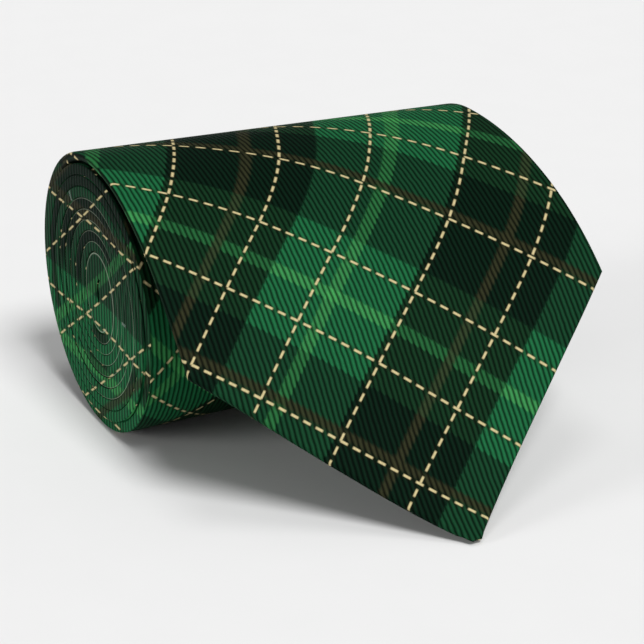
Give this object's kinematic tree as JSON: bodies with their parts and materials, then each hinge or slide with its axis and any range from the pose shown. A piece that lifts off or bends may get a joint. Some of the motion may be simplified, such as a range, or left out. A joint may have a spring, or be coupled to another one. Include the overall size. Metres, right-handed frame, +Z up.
{
  "type": "necktie",
  "caption": "Bias-cut necktie wound into a roll lying on its side, with the loose wide blade draped off the top down to the floor.",
  "frame": {"origin": "middle of the bounding box, on the floor that the roll and the point of the blade rest on", "axes": "+X along the roll from its flush end to its tapered end, the loose blade falls towards -Y, +Z up"},
  "size_m": [0.102, 0.1264, 0.0653],
  "materials": {
    "tie_cloth": "printed ribbed twill in a dark and bright green check with cream dashes",
    "interlining": "brushed wool blend",
    "tipping": "plain satin lining",
    "sewing_thread": "spun polyester thread",
    "label": "plain woven tape, no lettering"
  },
  "bodies": {
    "roll": {"front_shell_roll": "tie_cloth", "front_join_seam": "sewing_thread", "neck_shell": "tie_cloth", "tail_join_seam": "sewing_thread", "tail_shell": "tie_cloth", "interlining_roll": "interlining", "slip_stitch": "sewing_thread", "tail_bar_tack": "sewing_thread", "tail_tipping": "tipping", "keeper_loop": "tie_cloth", "woven_label": "label", "care_label": "label"},
    "blade": {"front_shell_blade": "tie_cloth", "interlining_blade": "interlining", "tipping_blade": "tipping", "front_bar_tack": "sewing_thread", "hem_stitch_blade": "sewing_thread"},
    "tip": {"front_shell_tip": "tie_cloth", "interlining_tip": "interlining", "tipping_tip": "tipping", "hem_stitch_tip": "sewing_thread"}
  },
  "joints": [
    {"name": "blade_lift", "type": "hinge", "parent": "roll", "child": "blade", "pos_m": [0, 0.03035, 0.06307], "axis": [-0.9982, -0.0392, 0.0448], "range_deg": [0, 70]},
    {"name": "tip_curl", "type": "hinge", "parent": "blade", "child": "tip", "pos_m": [0, -0.02083, 0.04414], "axis": [-0.9983, 0.0047, -0.0579], "range_deg": [0, 50]}
  ]
}
